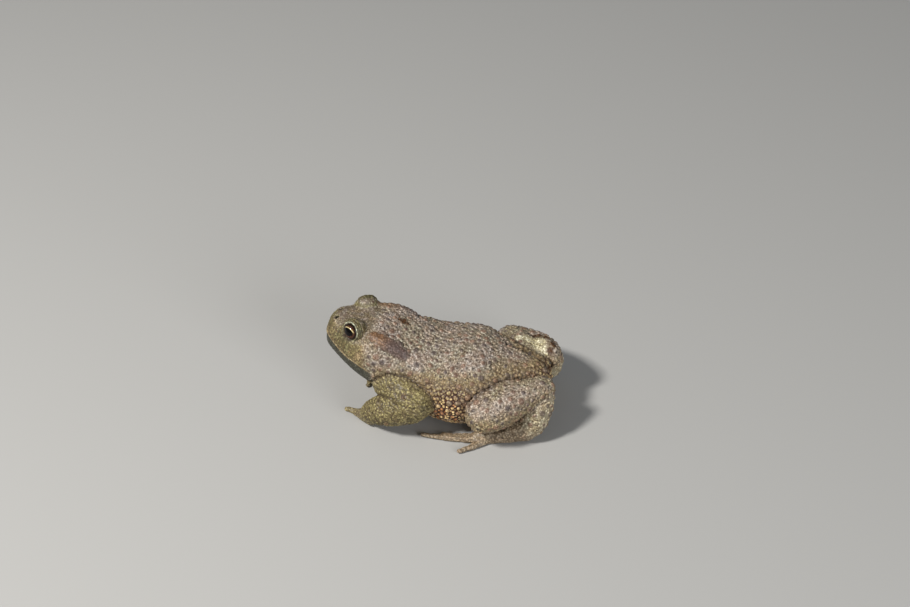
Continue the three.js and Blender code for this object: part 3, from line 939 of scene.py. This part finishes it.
def skin_material(settings):
    """Dry warty skin: pale net, dark warts, olive arms and rusty flanks; painted shade on the throat,
    between the warts and in the creases, painted light on the tarsus, and partly painted highlights
    on the beads and lid edges.
    """
    made = Recipe("toad_skin")
    fields = {"mottle": made.noise(420, 4, 0.6)}
    for attribute, names in FIELDS.items():
        fields.update(zip(names, made.split(attribute)))
    at = SimpleNamespace(**fields)
    colour = wart_colour(made, at, ground_colour(made, at, settings))
    colour = marked_colour(made, at, settings, colour)
    # Specks, and a fine unevenness over all.
    net = made.cells(1400)
    colour = made.mix(made.ramp(net, 0.2, 0.6, 0.0, 0.7), colour, NET_SHADE, "MULTIPLY")
    specks = made.times(made.ramp(made.cells(760), 0.2, 0.1), made.ramp(at.mottle, 0.4, 0.6))
    colour = made.cover(colour, specks, 0.6, SPECK)
    colour = made.mix(made.ramp(at.mottle, 0.35, 0.65, 0.0, 0.5), colour, UNEVEN, "OVERLAY")
    colour = made.add("ShaderNodeGamma", {"Color": colour, "Gamma": CONTRAST}).outputs[0]
    colour = made.mix(1.0, colour, (MIDTONE ** (1 - CONTRAST),) * 3, "MULTIPLY")
    pebbles = made.bump(net, 0.45, -0.0002)
    return made.finish(
        Base_Color=colour,
        Roughness=made.ramp(at.mottle, 0.3, 0.7, 0.42, 0.62),
        Specular_IOR_Level=0.45,
        Normal=made.bump(made.noise(1900, 3, 0.6), 0.35, 0.00012, pebbles))


PUPIL_MIDDLE = (0.04, 0.06)   # towards the snout and up, in parts of the eyeball's radius
PUPIL_HALF = (0.56, 0.37)     # half its length and height
DARK_VEINS = (0.030, 0.008, 0.005)
IRIS_EDGE_SHADE = (0.006, 0.004, 0.003)
PUPIL = (0.002, 0.0015, 0.0015)


def eye_material(settings):
    """Copper iris with gold flecks round a long black pupil, darkened towards its edge with painted
    shade, under a wet surface.
    """
    made = Recipe("toad_eye")
    place = made.attribute("gaze").outputs["Vector"]
    along, across, _ = made.add("ShaderNodeSeparateXYZ", {"Vector": place}).outputs
    pupil = made.length(*(
        made.math("DIVIDE", made.math("ADD", part, -middle), half)
        for part, middle, half in zip((along, across), PUPIL_MIDDLE, PUPIL_HALF)))
    veins = made.noise(9.0, 6, 0.7, 1.2, place)
    copper = made.mix(made.ramp(veins, 0.40, 0.62), tuple(settings.copper), DARK_VEINS)
    flecks = made.ramp(made.cells(16.0, place), 0.3, 0.08)
    iris = made.cover(copper, flecks, 0.6, tuple(settings.gold))
    upper = made.ramp(across, 0.1, 0.35)
    iris = made.cover(iris, made.ramp(pupil, 1.08, 1.24, 0.95, 0.0), upper, tuple(settings.gold))
    # Painted shade: the iris darkens towards its edge, where the lids shade it.
    iris = made.mix(made.ramp(made.length(along, across), 0.54, 0.76), iris, IRIS_EDGE_SHADE)
    iris = made.mix(made.ramp(pupil, 1.02, 0.96), iris, PUPIL)
    return made.finish(
        Base_Color=iris,
        Roughness=0.3,
        Specular_IOR_Level=0.05,
        Coat_Weight=0.65,
        Coat_Roughness=0.03,
        Coat_IOR=1.3,
        Normal=made.bump(veins, 0.25, 0.00005))


def floor_material(settings):
    """Even matte board with a trace of tooth."""
    made = Recipe("floor_board")
    return made.finish(
        Base_Color=tuple(settings.floor),
        Roughness=0.85,
        Normal=made.bump(made.noise(900, 3), 0.05, 0.0002))


# ------------------------------------------------------------------ operators

def show(name, mesh, material):
    """Links a finished mesh as an object at the origin, smooth-shaded."""
    piece = bpy.data.objects.new(name, mesh)
    bpy.context.collection.objects.link(piece)
    mesh.materials.clear()
    mesh.materials.append(material)
    mesh.shade_smooth()
    return piece


def paint(mesh, fields):
    """Stores the fields over the points as the attributes that the skin's material reads."""
    for name, channels in FIELDS.items():
        values = np.array([fields[channel] for channel in channels], np.float32).T
        layer = mesh.attributes.new(name, "FLOAT_COLOR", "POINT")
        layer.data.foreach_set("color", values.ravel())


def even_out(clay):
    """Smooths the joined solids, less at the digits and round the eyes."""
    fine = share(distances(clay.points), both("hand", "foot"))
    eyes = np.min(
        [np.linalg.norm(clay.points - np.array(EYE[side]), axis=1) for side in SIDES], axis=0)
    strength = 0.5 * (1 - 0.85 * fine) * (0.35 + 0.65 * smoothstep(5.0, 7.0, eyes))
    clay.smooth(SMOOTHINGS, strength)


def grow_warts(clay, normals, settings, scale, lift):
    """Covers the skin with warts and raises it under them."""
    warts = Warts(clay, normals, np.random.default_rng(settings.seed))
    warts.place(LARGE_WARTS)
    for size, amount in WART_KINDS:
        warts.fill(size * settings.wart_size / MM, amount, scale)
    clay.raise_by(settings.relief * warts.girth * np.maximum(warts.height, 0) ** 0.8 * lift)
    return warts


class TOAD_OT_skin(bpy.types.Operator):
    """Joins the solids of flesh into one skin with lids, mouth, glands, folds and warts"""
    bl_idname = "toad.skin"
    bl_label = "Skin"

    def execute(self, context):
        settings = context.scene.toad_skin
        clay = Clay(one_flesh(settings))
        even_out(clay)
        clay.refine(near_openings)
        clay.refine(near_lid_edges)
        gap = distances(clay.points)
        arm = share(gap, both("upper_arm", "forearm"))
        leg = share(gap, both("thigh", "shank", "tarsus"))
        digit = share(gap, both("hand", "foot"))
        hand = share(gap, both("hand"))
        heel = share(gap, both("tarsus"))
        trunk = share(gap, ["trunk"])
        skull = share(gap, ["head", "lower_jaw"])
        swell = 0.3 * clay.lumps(5.0) * np.maximum(trunk, leg)
        clay.raise_by(swell + digit * (0.25 * clay.lumps(1.8) - 0.3))

        lids = np.zeros((3, clay.count))
        for side in SIDES:
            lids = np.maximum(lids, shape_lids(clay, side))
        rim, lid_groove_shade, lid = lids
        nostril = np.maximum(shape_nostril(clay, 1), shape_nostril(clay, -1))
        slit, lip, lip_line, jaw = shape_mouth(clay, skull)
        gland, gland_along = shape_glands(clay)
        ear, eardrum = shape_ears(clay)
        crease = shape_folds(clay, gap, fill_bends(clay, gap))
        _, ahead, above = clay.head().T
        face = skull * smoothstep(-8, -3, ahead)
        snout = skull * smoothstep(0.5, 3.0, ahead) * smoothstep(-0.3, -2.0, above) * (1 - jaw)
        bare = np.maximum.reduce([rim, nostril, slit, lip, ear, eardrum, gland * 0.75])
        furrow = shape_wrinkles(clay, arm, snout * (1 - bare))

        # Where the colours change on the body and the face.
        level = clay.points[:, 2] + 1.4 * clay.lumps(6.0)
        groin = np.zeros(clay.count)
        for side, width in GROIN_WIDTH.items():
            leg_gap = np.min([gap[f"{part}_{side}"] for part in ("thigh", "shank", "foot")], axis=0)
            groin = np.maximum(groin, bell(leg_gap, width) * trunk)
        normals = clay.outward()
        facing_up = normals[:, 2]
        flank = smoothstep(25.5, 22.0, level) * smoothstep(14.0, 19.0, level) * trunk
        olive = np.maximum.reduce([flank, groin, smoothstep(0.7, 0.0, facing_up) * leg * 0.8])
        rust = np.maximum(smoothstep(23.5, 17.5, level) * trunk, 0.7 * groin)
        belly = smoothstep(-0.35, -0.8, facing_up)
        # Pale patches on the right leg, partly their own colour and partly painted light.
        light = patches(clay, PALE_PATCHES)
        tip = smoothstep(2.0, 6.0, ahead)
        crown = face * smoothstep(0.5 + 0.3 * tip, 0.85 + 0.12 * tip, facing_up) * (1 - lid)

        # Warts are smaller and lower on the limbs, the face and the underside.
        scale = (
            1 - 0.3 * arm - 0.35 * face - 0.4 * digit - 0.08 * rust - 0.1 * belly - 0.4 * light)
        lift = (
            1 - 0.3 * arm - 0.6 * face - 0.65 * digit - 0.8 * belly + 0.2 * rust - 0.3 * light)
        warts = grow_warts(clay, normals, settings, scale, lift * (1 - 0.85 * bare))
        clay.untangle(4)
        clay.points[:, 2] = np.maximum(clay.points[:, 2], 0)
        clay.write()

        paint(clay.mesh, dict(
            # Painted light: the tarsus takes half of the digits' colour and half of the pale colour,
            # so it shows lighter where the shank shades it.
            arm=arm + 0.95 * hand, leg=leg, digit=digit - 0.75 * hand + 0.5 * heel, belly=belly,
            cheek=face * (1 - lid) - crown, crown=crown, lid=lid, throat=jaw,
            wart=warts.height, girth=warts.girth, tone=warts.tone,
            # The crease channel is painted shade: the folds, the mouth's slit and the lids' grooves.
            crease=np.maximum.reduce([crease, slit, lid_groove_shade]),
            olive=olive, rust=rust, pale=np.maximum(light, 0.5 * heel), lip=lip,
            gland=gland, gland_along=gland_along, ear=ear, eardrum=eardrum,
            rim=rim, nostril=nostril, patch=patches(clay, BROWN_PATCHES),
            furrow=np.maximum(furrow, lip_line)))
        kept = (rim > 0.1) | (nostril > 0.1) | (slit > 0.5)
        mesh = thin_out(clay.mesh, settings.triangles, kept)
        skin = show("skin", mesh, skin_material(settings))
        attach(skin, "root")
        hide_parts(*FLESH)
        return {"FINISHED"}


class TOAD_OT_eyes(bpy.types.Operator):
    """Makes the two eyeballs with their bulging fronts"""
    bl_idname = "toad.eyes"
    bl_label = "Eyes"

    def execute(self, context):
        settings = context.scene.toad_eyes
        material = eye_material(settings)
        radius = EYE_RADIUS * MM
        level = Matrix.Rotation(-PUPIL_TILT, 3, "Z")
        for side in SIDES:
            axes = Matrix(eye_axes(side).tolist())
            work = bmesh.new()
            bmesh.ops.create_uvsphere(work, u_segments=72, v_segments=48, radius=radius)
            charts = []
            for vert in work.verts:
                facing = vert.co.z / radius
                charts.append(tuple(level @ (vert.co / radius)))
                vert.co *= 1 + settings.bulge / radius * max(0.0, facing) ** 3
            bmesh.ops.transform(work, matrix=axes.transposed().to_4x4(), verts=work.verts)
            bmesh.ops.translate(work, vec=EYE[side] * MM, verts=work.verts)
            bmesh.ops.recalc_face_normals(work, faces=work.faces)
            mesh = bpy.data.meshes.new(f"eyeball_{side}")
            work.to_mesh(mesh)
            work.free()
            layer = mesh.attributes.new("gaze", "FLOAT_VECTOR", "POINT")
            layer.data.foreach_set("vector", np.array(charts, np.float32).ravel())
            eye = show(f"eyeball_{side}", mesh, material)
            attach(eye, "root")
            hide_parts(f"eye_{side}")
        return {"FINISHED"}


AIM_ASIDE = (-5.0, 98.7)      # pixels right and down of the picture's middle, where MIDDLE is seen
PICTURE_WIDTH = 910           # pixels
FILM_WIDTH = 36               # millimetres
FLOOR_HALF = 3.0              # metres
LIGHTS_AIM = (0, 0, 0.015)
LIGHTS = (                    # name, place, size, power, colour
    ("key", (0.42, -0.50, 0.75), 0.14, 10.8, (1.0, 0.98, 0.95)),
    ("fill", (0.70, 0.70, 0.36), 0.5, 5.6, (0.97, 0.98, 1.0)),
)
STUDIO_COLOUR = (0.9, 0.95, 1.0, 1)
STUDIO_STRENGTH = 0.17


def add_softbox(name, place, size, power, colour):
    """A square area light turned towards the toad."""
    data = bpy.data.lights.new(name, "AREA")
    data.shape = "SQUARE"
    data.size = size
    data.energy = power
    data.color = colour
    light = bpy.data.objects.new(name, data)
    bpy.context.collection.objects.link(light)
    light.location = place
    way = Vector(LIGHTS_AIM) - Vector(place)
    light.rotation_euler = way.to_track_quat("-Z", "Y").to_euler()


class TOAD_OT_stage(bpy.types.Operator):
    """Sets the camera, the pale floor and the soft lights"""
    bl_idname = "toad.stage"
    bl_label = "Stage"

    def execute(self, context):
        settings = context.scene.toad_stage
        azimuth, elevation = settings.azimuth, settings.elevation
        back = Vector((
            math.sin(azimuth) * math.cos(elevation),
            -math.cos(azimuth) * math.cos(elevation),
            math.sin(elevation)))
        right = Vector((math.cos(azimuth), math.sin(azimuth), 0))
        above = back.cross(right)
        focal = settings.lens / FILM_WIDTH * PICTURE_WIDTH
        aside = Vector(AIM_ASIDE) * (settings.distance / focal)
        data = bpy.data.cameras.new("camera")
        data.lens = settings.lens
        data.sensor_width = FILM_WIDTH
        data.clip_start = 0.01
        camera = bpy.data.objects.new("camera", data)
        context.collection.objects.link(camera)
        turn = Matrix((right, above, back)).transposed()
        place = MIDDLE * MM + back * settings.distance - right * aside.x + above * aside.y
        camera.matrix_world = Matrix.Translation(place) @ turn.to_4x4()
        context.scene.camera = camera

        work = bmesh.new()
        bmesh.ops.create_grid(work, x_segments=2, y_segments=2, size=FLOOR_HALF)
        mesh = bpy.data.meshes.new("floor")
        work.to_mesh(mesh)
        work.free()
        show("floor", mesh, floor_material(settings))

        world = bpy.data.worlds.new("studio")
        world.use_nodes = True
        background = world.node_tree.nodes["Background"]
        background.inputs["Color"].default_value = STUDIO_COLOUR
        background.inputs["Strength"].default_value = STUDIO_STRENGTH
        context.scene.world = world
        context.scene.view_settings.view_transform = "Standard"
        for light in LIGHTS:
            add_softbox(*light)
        return {"FINISHED"}


class TOAD_PT_panel(bpy.types.Panel):
    """Lists the toad's pieces"""
    bl_idname = "TOAD_PT_panel"
    bl_label = "Common Toad"
    bl_space_type = "VIEW_3D"
    bl_region_type = "UI"
    bl_category = "Toad"

    def draw(self, context):
        layout = self.layout
        groups = (
            (context.scene.toad_skin, TOAD_OT_skin),
            (context.scene.toad_eyes, TOAD_OT_eyes),
            (context.scene.toad_stage, TOAD_OT_stage),
        )
        for settings, operator in groups:
            box = layout.box()
            for name in settings.__annotations__:
                box.prop(settings, name)
            box.operator(operator.bl_idname)


CLASSES = (
    ToadSkinSettings,
    ToadEyeSettings,
    ToadStageSettings,
    TOAD_OT_skin,
    TOAD_OT_eyes,
    TOAD_OT_stage,
    TOAD_PT_panel,
)


def register():
    for cls in CLASSES:
        bpy.utils.register_class(cls)
    bpy.types.Scene.toad_skin = PointerProperty(type=ToadSkinSettings)
    bpy.types.Scene.toad_eyes = PointerProperty(type=ToadEyeSettings)
    bpy.types.Scene.toad_stage = PointerProperty(type=ToadStageSettings)


def unregister():
    del bpy.types.Scene.toad_stage
    del bpy.types.Scene.toad_eyes
    del bpy.types.Scene.toad_skin
    for cls in reversed(CLASSES):
        bpy.utils.unregister_class(cls)


def main():
    register()
    bpy.ops.toad.skin()
    bpy.ops.toad.eyes()
    bpy.ops.toad.stage()


if __name__ == "__main__":
    main()
